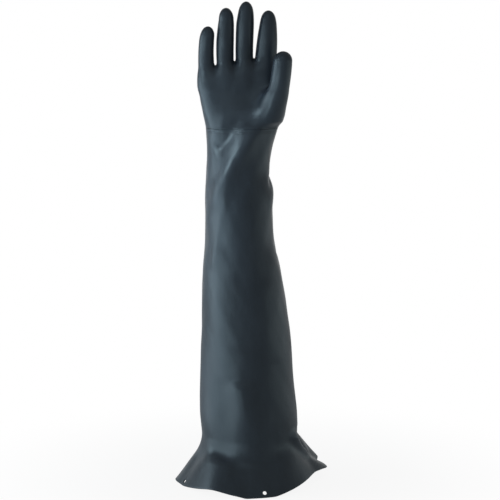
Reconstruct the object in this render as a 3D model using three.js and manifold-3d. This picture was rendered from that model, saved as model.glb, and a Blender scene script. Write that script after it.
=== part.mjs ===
// A long rubber glove for a sandblasting cabinet, standing on its flared cuff with the palm to the front.
// It is two moulded rubber skins, both hollow and open: the hand, with four fingers and a thumb, and the
// sleeve, which widens downwards from the wrist joint and ends in a wavy flange with punched stud holes.
// Millimetres. X is to the wearer's thumb side, -Y is the palm side, +Z points to the fingertips.
import * as THREE from "three";
import { mergeVertices } from "three/addons/utils/BufferGeometryUtils.js";
import Module from "manifold-3d";

// Driving dimensions
const WALL = 2; // thickness of the rubber
const WRIST_Z = 580; // height of the joint between hand and sleeve
const JOINT_GAP = 0.3; // gap between the two skins at the joint
const WAIST_Z = 80; // height where the sleeve turns out into the flange
const PALM_TOP_Z = 690; // top of the palm, in the crotches between the fingers
const PALM_ROUND = 20; // height over which the top of the palm rounds off
const HEM_SQUARE_CUT = 1.25; // the hem is cut level, so its cut face is wider than the wall
const HOLE_RADIUS = 3.2; // stud holes in the flange
const HOLE_INSET = 0.913; // place of the holes, as a share of the way from the waist to the hem
const BEND_ROUND = 24; // length over which the flange turns out below the waist

// How finely the curved forms are faceted
const SLEEVE_SIDES = 48;
const SLEEVE_STEPS = 24;
const PALM_SIDES = 36;
const FINGER_SIDES = 14;
const FLANGE_STEPS = 6;

// Cross-sections of the body from the waist to the knuckles: the outer edge on each side and how square it
// is (2 is an ellipse, and more is closer to a rectangle with round corners)
const SECTIONS = [
  { z: 80, left: -79.3, right: 79.5, front: -78, back: 78, square: 2 },
  { z: 115, left: -82.3, right: 77.3, front: -80, back: 79, square: 2 },
  { z: 165, left: -81.8, right: 72.3, front: -78, back: 77, square: 2 },
  { z: 232, left: -80.2, right: 66.8, front: -74, back: 73, square: 2 },
  { z: 300, left: -78.2, right: 58.5, front: -69, back: 67, square: 2 },
  { z: 358, left: -76.2, right: 48.7, front: -63, back: 62, square: 2 },
  { z: 398, left: -73.1, right: 39.3, front: -59, back: 58, square: 2 },
  { z: 440, left: -72.8, right: 36.8, front: -56, back: 56, square: 2 },
  { z: 480, left: -72.5, right: 35.4, front: -53, back: 54, square: 2 },
  { z: 510, left: -71, right: 31.5, front: -50, back: 52, square: 2 },
  { z: 545, left: -69.1, right: 33.6, front: -46, back: 48, square: 2 },
  { z: 580, left: -70.6, right: 41.6, front: -42, back: 44, square: 2 },
  { z: 592, left: -72.8, right: 47.6, front: -38, back: 41, square: 2.1 },
  { z: 605, left: -75.6, right: 51.3, front: -33, back: 36, square: 2.2 },
  { z: 630, left: -80.5, right: 48.8, front: -25, back: 28, square: 2.4 },
  { z: 655, left: -82.5, right: 44.8, front: -20, back: 22.5, square: 2.6 },
  { z: 690, left: -83.2, right: 42.8, front: -15.5, back: 18, square: 2.8 },
];

// Soft folds: each follows a quadratic curve through three points of angle and height (the middle one only
// draws it aside) and stands out, or in, by its relief. Heights below the waist are shares of the flange.
const FOLDS = [
  { name: "thumb_side_crease", path: [[44, 528], [6, 511], [-26, 484]], width: 8, relief: -2.4 },
  { name: "bulge_below_crease", path: [[40, 494], [0, 480], [-36, 455]], width: 15, relief: 2 },
  { name: "lower_side_crease", path: [[34, 406], [4, 388], [-14, 350]], width: 8, relief: -1.6 },
  { name: "wrist_ridge", path: [[-44, 614], [-102, 524], [-144, 436]], width: 16, relief: 7.6, fade: 64 },
  { name: "wrist_flat", path: [[-88, 626], [-100, 576], [-142, 538]], width: 14, relief: -5.4 },
  { name: "cuff_swell", path: [[-97, 185], [-93, 125], [-78, 48]], width: 17, relief: 4.3 },
  { name: "cuff_flat", path: [[-118, 190], [-118, 130], [-122, 40]], width: 15, relief: -2.8 },
  { name: "cuff_hollow", path: [[-144, 70], [-126, 60], [-106, 48]], width: 9, relief: -2.6 },
  { name: "pleat_crest", path: [[-34, 94], [-14, 57], [2, 26]], width: 8, relief: 6 },
  { name: "pleat_groove", path: [[-12, 94], [5, 52], [19, 4]], width: 8, relief: -6.5 },
];
const FOLD_FADE = 20; // length over which a fold dies away at either end, unless its row gives a fade
const FOLD_STEPS = 8; // short straight runs that stand for a fold's curve

// The hem of the flange, round from the thumb side over the back. A lift below zero is pressed on the floor.
// The bend is how far the flange still runs straight down below the waist before it turns out.
const HEM = [
  { angle: 0, radius: 120, lift: 16.5, bend: 20 },
  { angle: 11, radius: 131, lift: 14, bend: 16 },
  { angle: 20, radius: 121, lift: 17, bend: 2 },
  { angle: 31, radius: 131, lift: 21, bend: 0 },
  { angle: 46, radius: 114, lift: 8, bend: 14 },
  { angle: 66, radius: 108, lift: -3, bend: 22 },
  { angle: 88, radius: 120, lift: -4, bend: 22 },
  { angle: 118, radius: 107, lift: 6, bend: 22 },
  { angle: 146, radius: 119, lift: -4, bend: 22 },
  { angle: 168, radius: 112, lift: 2, bend: 22 },
  { angle: 183, radius: 124, lift: 0, bend: 20 },
  { angle: 199, radius: 120, lift: 1, bend: 22 },
  { angle: 222, radius: 119, lift: 6.5, bend: 13 },
  { angle: 240, radius: 122, lift: 11.5, bend: 14 },
  { angle: 259, radius: 123, lift: 6, bend: 24 },
  { angle: 274, radius: 119, lift: -1, bend: 22 },
  { angle: 290, radius: 117, lift: 1.5, bend: 24 },
  { angle: 306, radius: 115, lift: 8, bend: 15 },
  { angle: 322, radius: 111, lift: 13, bend: 14 },
  { angle: 338, radius: 108, lift: 16, bend: 18 },
  { angle: 350, radius: 110, lift: 17, bend: 21 },
];
const HOLE_ANGLES = [18, 112, 202, 282];

// Fingers as level rings from inside the palm up to the tip, which is a point. A ring's depth to the front
// and back is its radius over its flat.
const FINGERS = {
  little: [
    { x: -66.5, y: 1.5, z: 636, radius: 11.5, flat: 0.96 },
    { x: -69.2, y: 1.3, z: 660, radius: 13, flat: 0.99 },
    { x: -70, y: 1, z: 678, radius: 12.9, flat: 1 },
    { x: -70.3, y: -0.5, z: 700, radius: 12.4, flat: 1 },
    { x: -69.2, y: -3.8, z: 720, radius: 12, flat: 1 },
    { x: -66.9, y: -8.5, z: 742, radius: 0, flat: 1 },
  ],
  ring: [
    { x: -38, y: 1.5, z: 645, radius: 11.5, flat: 0.77 },
    { x: -39.4, y: 1.2, z: 672, radius: 13.2, flat: 0.81 },
    { x: -39.9, y: 0.5, z: 690, radius: 13.9, flat: 0.93 },
    { x: -40, y: -0.6, z: 706, radius: 14.1, flat: 1 },
    { x: -39.2, y: -5, z: 738, radius: 13.7, flat: 1 },
    { x: -37.4, y: -10, z: 770.5, radius: 0, flat: 1 },
  ],
  middle: [
    { x: -10, y: 1.5, z: 645, radius: 11.5, flat: 0.77 },
    { x: -9.4, y: 1.2, z: 676, radius: 13.7, flat: 0.84 },
    { x: -9.1, y: 0.4, z: 694, radius: 14.1, flat: 0.94 },
    { x: -9, y: -0.6, z: 710, radius: 14.1, flat: 1 },
    { x: -8, y: -5, z: 745, radius: 14, flat: 1 },
    { x: -5.6, y: -10, z: 780, radius: 0, flat: 1 },
  ],
  index: [
    { x: 22, y: 1.4, z: 645, radius: 12.5, flat: 1.1 },
    { x: 24, y: 1.2, z: 672, radius: 15.9, flat: 1.18 },
    { x: 25.2, y: 0, z: 690, radius: 17.2, flat: 1.22 },
    { x: 26.5, y: -1.2, z: 708, radius: 16.7, flat: 1.12 },
    { x: 28.3, y: -5, z: 738, radius: 14.4, flat: 1.02 },
    { x: 29.6, y: -9, z: 766, radius: 0, flat: 1 },
  ],
  thumb: [
    { x: 14, y: -12, z: 583, radius: 22, flat: 1 },
    { x: 28, y: -20, z: 600, radius: 25.5, flat: 1 },
    { x: 38.5, y: -30, z: 622, radius: 21.8, flat: 1 },
    { x: 45.4, y: -39, z: 648, radius: 18, flat: 1 },
    { x: 50.2, y: -45, z: 674, radius: 16, flat: 1 },
    { x: 51.6, y: -48, z: 702, radius: 0, flat: 1 },
  ],
};
const TIP_STEPS = 5; // rings in a rounded fingertip
const FINGER_STEPS = 5; // rings along the rest of a finger

const RADIANS = Math.PI / 180;
const UPWARDS = new THREE.Vector3(0, 0, 1);
const FOLD_RADIUS = 60; // angles round the body count as lengths at this radius where folds are measured
const LEAST_BEND = 1; // the flange still turns with a small round where it turns out at once

// Smooth curve through the rows of a table: the value of one column at a place along the key column
function smooth(rows, key, column, at) {
  let i = 0;
  while (i < rows.length - 2 && at > rows[i + 1][key]) i++;
  const [a, b] = [rows[i], rows[i + 1]];
  const slope = (p, q) => (q[column] - p[column]) / (q[key] - p[key]);
  const here = slope(a, b);
  const before = i > 0 ? slope(rows[i - 1], b) : here;
  const after = i < rows.length - 2 ? slope(a, rows[i + 2]) : here;
  const span = b[key] - a[key];
  const t = THREE.MathUtils.clamp((at - a[key]) / span, 0, 1);
  const [t2, t3] = [t * t, t * t * t];
  return (
    (2 * t3 - 3 * t2 + 1) * a[column] +
    (t3 - 2 * t2 + t) * span * before +
    (3 * t2 - 2 * t3) * b[column] +
    (t3 - t2) * span * after
  );
}

// The hem's rows, once round and a little past both ends
const turn = (row, degrees) => ({ ...row, angle: row.angle + degrees });
const HEM_ROUND = [
  ...HEM.slice(-2).map((row) => turn(row, -360)),
  ...HEM,
  ...HEM.slice(0, 2).map((row) => turn(row, 360)),
];

const eased = (share) => THREE.MathUtils.smoothstep(share, 0, 1);

// The folds' curves as points of angle and height, joined by short straight runs
const FOLD_CURVES = FOLDS.map(({ path, width, relief: height, fade: fadeLength = FOLD_FADE }) => {
  const curve = new THREE.QuadraticBezierCurve(...path.map((point) => new THREE.Vector2(...point)));
  return { width, height, fadeLength, points: curve.getPoints(FOLD_STEPS) };
});

// How far the folds push the surface out at an angle in degrees and a height
function relief(angle, z) {
  let out = 0;
  for (const { width, height, fadeLength, points } of FOLD_CURVES) {
    let [nearest, place, length] = [Infinity, 0, 0];
    for (let i = 0; i < FOLD_STEPS; i++) {
      const [from, to] = [points[i], points[i + 1]];
      const turned = THREE.MathUtils.euclideanModulo(angle - from.x + 180, 360) - 180;
      const at = new THREE.Vector2(turned * RADIANS * FOLD_RADIUS, z - from.y);
      const run = new THREE.Vector2((to.x - from.x) * RADIANS * FOLD_RADIUS, to.y - from.y);
      const along = THREE.MathUtils.clamp(at.dot(run) / run.lengthSq(), 0, 1);
      const away = at.addScaledVector(run, -along).length();
      if (away < nearest) [nearest, place] = [away, length + along * run.length()];
      length += run.length();
    }
    const fade = eased(place / fadeLength) * eased((length - place) / fadeLength);
    out += height * fade * Math.exp(-((nearest / width) ** 2));
  }
  return out;
}

// A point of the body's outer surface, and taken in by a wall
function sectionPoint(angle, z, inward = 0, folded = true) {
  const of = (column) => smooth(SECTIONS, "z", column, z);
  const [left, right, front, back] = [of("left"), of("right"), of("front"), of("back")];
  const [cos, sin] = [Math.cos(angle * RADIANS), Math.sin(angle * RADIANS)];
  const n = of("square");
  const norm = (Math.abs(cos) ** n + Math.abs(sin) ** n) ** (-1 / n);
  const out = (folded ? relief(angle, z) : 0) - inward;
  return new THREE.Vector3(
    (left + right) / 2 + ((right - left) / 2) * norm * cos + out * cos,
    (front + back) / 2 + ((back - front) / 2) * norm * sin + out * sin,
    z,
  );
}

// A point of the flange: share 0 is the waist, share 1 the hem. It runs straight down to the bend and
// straight out from there, with a rounded turn between, and the folds stand out square to this line.
function flangePoint(angle, share) {
  const around = THREE.MathUtils.euclideanModulo(angle, 360);
  const of = (column) => smooth(HEM_ROUND, "angle", column, around);
  const outward = new THREE.Vector3(Math.cos(angle * RADIANS), Math.sin(angle * RADIANS), 0);
  const bend = Math.max(LEAST_BEND, of("bend"));
  const rounded = Math.min(bend, BEND_ROUND);
  const turn = sectionPoint(angle, WAIST_Z, 0, false).setZ(WAIST_Z - bend);
  const hem = outward.clone().multiplyScalar(of("radius")).setZ(Math.max(0, of("lift")));
  const out = hem.clone().sub(turn);
  const way = share * (bend + out.length()) - bend;
  out.normalize();
  const past = Math.max(way, 0) + Math.max(rounded - Math.abs(way), 0) ** 2 / (4 * rounded);
  const turned = THREE.MathUtils.clamp(0.5 + way / (2 * rounded), 0, 1);
  const run = out.clone().multiplyScalar(turned).addScaledVector(UPWARDS, turned - 1);
  const square = outward.clone().multiplyScalar(-run.z).setZ(run.dot(outward)).normalize();
  const point = turn.addScaledVector(out, past).addScaledVector(UPWARDS, past - way);
  point.addScaledVector(square, relief(angle, WAIST_Z * (1 - share)));
  return point.setZ(Math.max(0, point.z));
}

// The sleeve and flange as one surface: level 0 is the hem, 1 the waist, 2 the top
function skinPoint(angle, level) {
  if (level <= 1) return flangePoint(angle, 1 - level);
  return sectionPoint(angle, WAIST_Z + (level - 1) * (WRIST_Z - JOINT_GAP / 2 - WAIST_Z));
}

// Its outward normal, from two short steps along the surface
function skinNormal(angle, level) {
  const step = 0.02;
  const low = Math.max(0, level - step);
  const high = Math.min(2, level + step);
  const up = skinPoint(angle, high).sub(skinPoint(angle, low));
  const around = skinPoint(angle + 1, level).sub(skinPoint(angle - 1, level));
  return around.cross(up).normalize();
}

// The same point on the inside of the wall: the hem and the top edge are cut level
function liningPoint(angle, level) {
  const normal = skinNormal(angle, level);
  const point = skinPoint(angle, level);
  if (level > 0 && level < 2) return point.addScaledVector(normal, -WALL);
  const width = level === 0 ? WALL * HEM_SQUARE_CUT : WALL;
  return point.addScaledVector(normal.setZ(0).normalize(), -width);
}

// A closed body from rings of points, each ring listed anticlockwise as seen from above, lowest first.
// If it closes on itself, the last ring joins the first; otherwise both ends are capped by a fan.
function loft(rings, closesOnItself) {
  const sides = rings[0].length;
  const points = rings.flat();
  const faces = [];
  const joins = closesOnItself ? rings.length : rings.length - 1;
  for (let ring = 0; ring < joins; ring++) {
    const next = (ring + 1) % rings.length;
    for (let i = 0; i < sides; i++) {
      const j = (i + 1) % sides;
      const [a, b, c, d] = [ring * sides + i, ring * sides + j, next * sides + j, next * sides + i];
      faces.push([a, b, c], [a, c, d]);
    }
  }
  if (!closesOnItself) {
    const last = (rings.length - 1) * sides;
    for (let i = 1; i < sides - 1; i++) {
      faces.push([0, i + 1, i], [last, last + i, last + i + 1]);
    }
  }
  const geometry = new THREE.BufferGeometry();
  geometry.setAttribute("position", new THREE.Float32BufferAttribute(points.flatMap((p) => p.toArray()), 3));
  geometry.setIndex(faces.flat());
  return geometry;
}

const anglesOf = (sides) => Array.from({ length: sides }, (_, i) => (360 * i) / sides);

// The sleeve with its flange: up the outside and down the inside
function sleeveGeometry() {
  const angles = anglesOf(SLEEVE_SIDES);
  const flange = Array.from({ length: FLANGE_STEPS }, (_, i) => i / FLANGE_STEPS);
  const levels = Array.from({ length: SLEEVE_STEPS + 1 }, (_, i) => 1 + i / SLEEVE_STEPS);
  const rows = [...flange, ...levels];
  const outside = rows.map((level) => angles.map((angle) => skinPoint(angle, level)));
  const inside = rows.map((level) => angles.map((angle) => liningPoint(angle, level)));
  return loft([...outside, ...inside.reverse()], true);
}

// A stud hole's cutter, square to the flange
function holeCutter(angle) {
  const level = 1 - HOLE_INSET;
  const pin = new THREE.CylinderGeometry(HOLE_RADIUS, HOLE_RADIUS, WALL * 6, 16);
  const pinAxis = new THREE.Vector3(0, 1, 0);
  const square = new THREE.Quaternion().setFromUnitVectors(pinAxis, skinNormal(angle, level));
  return pin.applyQuaternion(square).translate(...skinPoint(angle, level));
}

// The palm from below the wrist joint to its rounded top, taken in by a wall
function palmGeometry(inward, bottom) {
  const top = PALM_TOP_Z - inward;
  const shoulder = top - PALM_ROUND;
  const straight = [bottom, 592, 605, 618, 630, 643, 656, shoulder];
  const rounds = [0.45, 0.75, 0.95];
  const ring = (z, scale) => {
    const centre = sectionPoint(0, z).add(sectionPoint(180, z)).multiplyScalar(0.5);
    return anglesOf(PALM_SIDES).map((angle) => {
      const point = sectionPoint(angle, z, inward);
      return point.sub(centre).multiplyScalar(scale).add(centre);
    });
  };
  return loft([
    ...straight.map((z) => ring(z, 1)),
    ...rounds.map((share) => ring(shoulder + share * PALM_ROUND, Math.sqrt(1 - share * share))),
  ], false);
}

// A finger from rings between its rows, with a rounded tip, taken in by a wall
function fingerGeometry(rows, inward) {
  const last = rows[rows.length - 2];
  const tip = rows[rows.length - 1];
  const shaft = rows.slice(0, -1);
  const ring = (x, y, z, radius, depth) => anglesOf(FINGER_SIDES).map((angle) =>
    new THREE.Vector3(x + radius * Math.cos(angle * RADIANS), y + depth * Math.sin(angle * RADIANS), z));
  const rings = [];
  for (let i = 0; i <= FINGER_STEPS; i++) {
    const z = THREE.MathUtils.lerp(rows[0].z, last.z, i / FINGER_STEPS);
    const of = (column) => smooth(shaft, "z", column, z);
    rings.push(ring(of("x"), of("y"), z, of("radius") - inward, of("radius") / of("flat") - inward));
  }
  for (let i = 1; i <= TIP_STEPS; i++) {
    const bow = (i / (TIP_STEPS + 0.5)) * 90 * RADIANS;
    const share = Math.sin(bow);
    const radius = (last.radius - inward) * Math.cos(bow);
    rings.push(ring(
      THREE.MathUtils.lerp(last.x, tip.x, share),
      THREE.MathUtils.lerp(last.y, tip.y, share),
      THREE.MathUtils.lerp(last.z, tip.z - inward, share),
      radius,
      radius / last.flat,
    ));
  }
  return loft(rings, false);
}

const wasm = await Module();
wasm.setup();

// A closed geometry as a solid that can be joined and cut, and back
function solidOf(geometry) {
  const bare = new THREE.BufferGeometry()
    .setAttribute("position", geometry.getAttribute("position"))
    .setIndex(geometry.getIndex());
  const merged = mergeVertices(bare, 1e-4);
  return new wasm.Manifold(new wasm.Mesh({
    numProp: 3,
    vertProperties: new Float32Array(merged.getAttribute("position").array),
    triVerts: new Uint32Array(merged.getIndex().array),
  }));
}
function geometryOf(solid) {
  const mesh = solid.getMesh();
  const geometry = new THREE.BufferGeometry();
  geometry.setAttribute("position", new THREE.BufferAttribute(mesh.vertProperties, 3));
  geometry.setIndex(new THREE.BufferAttribute(mesh.triVerts, 1));
  return geometry;
}

// The hand: palm, fingers and thumb joined, less the same forms one wall smaller
function handSolid() {
  const form = (inward, bottom) =>
    Object.values(FINGERS)
      .map((rows) => solidOf(fingerGeometry(rows, inward)))
      .reduce((joined, finger) => joined.add(finger), solidOf(palmGeometry(inward, bottom)));
  const bottom = WRIST_Z + JOINT_GAP / 2;
  return form(0, bottom).subtract(form(WALL, bottom - 10));
}

function sleeveSolid() {
  return HOLE_ANGLES.map((angle) => solidOf(holeCutter(angle)))
    .reduce((skin, cutter) => skin.subtract(cutter), solidOf(sleeveGeometry()));
}

const rubber = { color: 0x23282c, roughness: 0.42, metalness: 0 };
const hand = new THREE.Mesh(geometryOf(handSolid()), new THREE.MeshStandardMaterial(rubber));
hand.name = "hand";
const sleeve = new THREE.Mesh(geometryOf(sleeveSolid()), new THREE.MeshStandardMaterial(rubber));
sleeve.name = "sleeve";

// The origin is on the floor under the middle of the glove
const glove = new THREE.Group();
glove.add(hand, sleeve);
const bounds = new THREE.Box3().setFromObject(glove);
const middle = bounds.getCenter(new THREE.Vector3());
glove.position.set(-middle.x, -middle.y, -bounds.min.z);

export default glove;
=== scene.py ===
# %% [markdown]
# # A rubber glove for a blasting cabinet
#
# This lesson makes the looks of a long black rubber gauntlet that stands upright on its flared cuff. The
# real one is made by dipping moulds in rubber, so it is a thin skin with soft folds and no stitches. The
# hand and the sleeve are two such skins, bonded in a fine line round the wrist, and two pieces are made for
# them here.
#
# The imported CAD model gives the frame: its units are metres, +Z goes from the cuff to the fingertips, -Y
# comes out of the palm, and the origin is on the floor under the middle of the whole glove.

# %% Load the CAD model as a fixed frame
from math import radians

import bmesh
import bpy
import numpy as np
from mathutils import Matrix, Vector


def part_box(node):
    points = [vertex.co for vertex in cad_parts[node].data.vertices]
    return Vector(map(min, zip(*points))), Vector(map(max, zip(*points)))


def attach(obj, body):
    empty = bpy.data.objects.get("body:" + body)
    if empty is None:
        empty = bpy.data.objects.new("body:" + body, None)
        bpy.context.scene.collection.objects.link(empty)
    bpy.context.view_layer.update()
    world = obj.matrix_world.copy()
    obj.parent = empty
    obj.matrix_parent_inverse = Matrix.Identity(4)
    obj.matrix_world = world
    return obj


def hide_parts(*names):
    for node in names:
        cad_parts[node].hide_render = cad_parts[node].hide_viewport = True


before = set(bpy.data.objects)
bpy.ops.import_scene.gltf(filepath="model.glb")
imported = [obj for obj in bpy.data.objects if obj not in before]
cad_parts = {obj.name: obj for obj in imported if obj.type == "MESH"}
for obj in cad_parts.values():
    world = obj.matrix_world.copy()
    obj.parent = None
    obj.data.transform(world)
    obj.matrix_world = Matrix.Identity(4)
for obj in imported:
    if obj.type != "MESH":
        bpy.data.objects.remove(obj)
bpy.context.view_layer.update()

hand_box, sleeve_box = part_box("hand"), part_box("sleeve")
print("the hand goes from", round(hand_box[0][2], 4), "to", round(hand_box[1][2], 4), "m")

# %% [markdown]
# ## Sizes
#
# A dipped glove has no flat faces to measure, so its form is written down as short tables: sections of the
# sleeve, rows of the hem, and rings of each finger. They are in millimetres from the axis of the cuff,
# which is the easiest way to read them. The last step of each piece turns them into metres in the frame.

# %% Units, the wall and the places that both pieces share
MM = 0.001
TURN = 360.0
WALL = 2.0
AXIS = np.array([-2.53, 0.77, 0.0])  # where the cuff's axis stands in the frame
WRIST_Z = (sleeve_box[1][2] + hand_box[0][2]) / 2 / MM
JOINT_GAP = (hand_box[0][2] - sleeve_box[1][2]) / MM
WAIST_Z = 80.0  # below this height the sleeve turns out into its flange
HEM_LOWEST = 1.6  # the skin comes no lower, which leaves room for the wall over the floor
print("wall", WALL, "mm, joint at", round(WRIST_Z, 2), "mm with a gap of", round(JOINT_GAP, 2), "mm")

# %% [markdown]
# ## Tables and the curves through them
#
# A table gives a form at a few heights or angles only. Straight runs between its rows would show as kinks
# on anything as glossy as rubber, so each column follows a smooth curve from row to row, as a thin batten
# does that is bent round pins.

# %% Small tables and smooth steps


def table(columns, *rows):
    """A small table: each column's name with its numbers, one for each row."""
    return dict(zip(columns.split(), np.array(rows, float).T))


def smooth(rows, key, column, at):
    """Smooth curve through one column: between two rows it is the cubic that leaves each row with the slope
    of the line from the row before to the row after, and past either end it stays level."""
    x, y = rows[key], rows[column]
    at = np.clip(at, x[0], x[-1])
    slope = np.empty_like(y)
    slope[1:-1] = (y[2:] - y[:-2]) / (x[2:] - x[:-2])
    slope[0] = (y[1] - y[0]) / (x[1] - x[0])
    slope[-1] = (y[-1] - y[-2]) / (x[-1] - x[-2])
    row = np.clip(np.searchsorted(x, at, side="right") - 1, 0, len(x) - 2)
    span = x[row + 1] - x[row]
    t = (at - x[row]) / span
    return ((2 * t**3 - 3 * t**2 + 1) * y[row] + (t**3 - 2 * t**2 + t) * span * slope[row]
            + (3 * t**2 - 2 * t**3) * y[row + 1] + (t**3 - t**2) * span * slope[row + 1])


def step_up(start, end, at):
    """Smooth step from 0 at start to 1 at end: three times the square less twice the cube."""
    t = np.clip((at - start) / (end - start), 0, 1)
    return t * t * (3 - 2 * t)


def direction(phi):
    """The level direction out from the axis at an angle in degrees: its cosine and its sine."""
    return np.cos(np.radians(phi)), np.sin(np.radians(phi))


print("a quarter of the way, the smooth step has reached", float(step_up(0, 1, 0.25)))

# %% [markdown]
# ## The body of the glove
#
# The sleeve could be a cone with a few sculpted dents, but a cone has the same section all the way, and
# this one leans to the thumb side as it widens. So its sections are listed by height: where the outer edge
# is on each side, and how square the section is. Angles run anticlockwise from the thumb side as seen from
# above, so the palm side, which the camera sees, is at -90 degrees.

# %% Sections from the waist to the knuckles
SECTIONS = table(
    "z left right front back square",
    (80, -79.3, 79.5, -78, 78, 2),
    (115, -82.3, 77.3, -80, 79, 2),
    (165, -81.8, 72.3, -78, 77, 2),
    (232, -80.2, 66.8, -74, 73, 2),
    (300, -78.2, 58.5, -69, 67, 2),
    (358, -76.2, 48.7, -63, 62, 2),
    (398, -73.1, 39.3, -59, 58, 2),
    (440, -72.8, 36.8, -56, 56, 2),
    (480, -72.5, 35.4, -53, 54, 2),
    (510, -71, 31.5, -50, 52, 2),
    (545, -69.1, 35.4, -46, 48, 2),
    (580, -70.6, 45.4, -42, 44, 2),
    (592, -72.8, 49.8, -38, 41, 2.1),
    (605, -75.6, 52.4, -33, 36, 2.2),
    (630, -80.5, 48.8, -25, 28, 2.4),
    (655, -82.5, 44.8, -20, 22.5, 2.6),
    (690, -83.2, 42.8, -15.5, 18, 2.8),
)
print(len(SECTIONS["z"]), "sections from", SECTIONS["z"][0], "to", SECTIONS["z"][-1], "mm")

# %% [markdown]
# ## Folds
#
# Thick rubber creases softly. Each fold here is a ridge or a groove along a short curve on the sleeve, with
# a bell for its cross-section. A row gives the curve's three points as angle and height, its width, and its
# relief, which is below zero for a groove. A high fold would end in a pinch, so its row may also give a
# longer fade. A sculpt brush would do the same by hand, but a row can be read and changed. Below the waist,
# heights are shares of the flange: 80 is the waist and 0 the hem.

# %% Where each fold runs
FOLD_RADIUS = 60.0  # an angle counts as a way along a circle of this radius
FOLD_STEPS = 8
FOLD_FADE = 20.0  # a fold dies away over this length at either end, unless its row says otherwise
FOLDS = {
    "thumb_side_crease": dict(path=[(44, 528), (6, 511), (-26, 484)], width=6, relief=-2.4),
    "bulge_below_crease": dict(path=[(40, 494), (0, 480), (-36, 455)], width=15, relief=2.0),
    "lower_side_crease": dict(path=[(34, 406), (4, 388), (-14, 350)], width=6, relief=-1.6),
    "wrist_ridge": dict(path=[(-44, 614), (-102, 524), (-144, 436)], width=16, relief=7.6, fade=64),
    "wrist_flat": dict(path=[(-88, 626), (-100, 576), (-142, 538)], width=14, relief=-5.4),
    "forearm_ridge": dict(path=[(-104, 486), (-126, 440), (-138, 350)], width=8, relief=1.3),
    "long_ridge": dict(path=[(-129, 400), (-128, 300), (-120, 195)], width=15, relief=1.2),
    "front_flat": dict(path=[(-95, 365), (-98, 290), (-96, 220)], width=17, relief=-1.0),
    "soft_swell": dict(path=[(-64, 345), (-62, 270), (-58, 200)], width=20, relief=1.3),
    "left_ripple_high": dict(path=[(-172, 300), (-150, 262), (-130, 240)], width=8, relief=-0.6),
    "left_ripple_low": dict(path=[(-172, 258), (-150, 238), (-126, 220)], width=8, relief=-0.6),
    "cuff_swell": dict(path=[(-97, 185), (-93, 125), (-78, 48)], width=17, relief=4.3),
    "cuff_flat": dict(path=[(-118, 190), (-118, 130), (-122, 40)], width=15, relief=-2.8),
    "cuff_hollow": dict(path=[(-144, 70), (-126, 60), (-106, 48)], width=9, relief=-2.6),
    "pleat_crest": dict(path=[(-34, 94), (-14, 57), (2, 26)], width=8, relief=6.0),
    "pleat_groove": dict(path=[(-12, 94), (5, 52), (19, 4)], width=8, relief=-6.5),
}
print(len(FOLDS), "folds, the highest", max(fold["relief"] for fold in FOLDS.values()), "mm")

# %% How far the folds stand out at a point


def relief(phi, z):
    """Height of the folds at an angle in degrees and a height: for each fold, its relief times a bell of the
    distance to its curve, a row of short straight runs, and less near the curve's ends."""
    out = np.zeros(np.broadcast(phi, z).shape)
    for fold in FOLDS.values():
        first, middle, last = (np.array(point, float) for point in fold["path"])
        t = np.linspace(0, 1, FOLD_STEPS + 1)[:, None]
        curve = (1 - t) ** 2 * first + 2 * t * (1 - t) * middle + t**2 * last
        nearest, place, length = np.full(out.shape, np.inf), np.zeros(out.shape), 0.0
        for start, end in zip(curve[:-1], curve[1:]):
            turned = (phi - start[0] + TURN / 2) % TURN - TURN / 2
            across, up = np.radians(turned) * FOLD_RADIUS, z - start[1]
            run_x, run_y = radians(end[0] - start[0]) * FOLD_RADIUS, end[1] - start[1]
            run = (run_x**2 + run_y**2) ** 0.5
            along = np.clip((across * run_x + up * run_y) / run**2, 0, 1)
            away = (across - along * run_x) ** 2 + (up - along * run_y) ** 2
            place = np.where(away < nearest, length + along * run, place)
            nearest, length = np.minimum(nearest, away), length + run
        run_out = fold.get("fade", FOLD_FADE)
        fade = step_up(0, run_out, place) * step_up(length, length - run_out, place)
        out += fold["relief"] * np.exp(-nearest / fold["width"] ** 2) * fade
    return out


print("the wrist's ridge stands out", round(float(relief(-102, 524)), 2), "mm at its middle")

# %% [markdown]
# ## Waviness
#
# Between its folds a dipped skin isn't quite true either, and a highlight that runs down it shows that at
# once. A displacement by noise would do, but a few long sine waves are smoother and can be read.

# %% The slight unevenness of the skin
WAVES = (  # for each wave its height, the turns round the glove, the length up it, and where it starts
    (0.28, 3, 210, 0.4),
    (0.22, -5, 130, 2.1),
    (0.15, 8, 86, 4.0),
    (0.10, -11, 61, 1.2),
    (0.07, 17, 47, 5.1),
)


def waviness(phi, z):
    """The unevenness of the wall: a sum of sine waves, each of its turns times the angle plus the height
    over its length, in whole turns."""
    out = np.zeros(np.broadcast(phi, z).shape)
    for height, turns, wavelength, phase in WAVES:
        out += height * np.sin(np.radians(turns * phi) + 2 * np.pi * z / wavelength + phase)
    return out


print("the waves add up to", round(sum(wave[0] for wave in WAVES), 2), "mm at the most")

# %% [markdown]
# ## A point of the body
#
# A section is a superellipse: like an ellipse, but with its own power in place of two, so it can be a
# little square. The folds are added outwards. The function takes whole arrays of angles and heights at
# once.

# %% The outer surface from its angle and height


def section(z):
    """The section at a height: its centre, which is midway between its sides, its half sizes, which are half
    the way from side to side, and its power."""
    left, right, front, back, square = (smooth(SECTIONS, "z", name, z)
                                        for name in ("left", "right", "front", "back", "square"))
    return (left + right) / 2, (front + back) / 2, (right - left) / 2, (back - front) / 2, square


def body(phi, z, folded=True):
    """Outer point at an angle and a height: the superellipse's centre plus its half sizes times cosine and
    sine, scaled so that the powers of both add up to one, and moved out by the folds."""
    cx, cy, half_x, half_y, power = section(z)
    cos, sin = direction(phi)
    reach = (np.abs(cos) ** power + np.abs(sin) ** power) ** (-1 / power)
    out = relief(phi, z) + waviness(phi, z) if folded else 0
    return np.stack([cx + (half_x * reach + out) * cos, cy + (half_y * reach + out) * sin, z + 0 * cos], -1)


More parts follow.
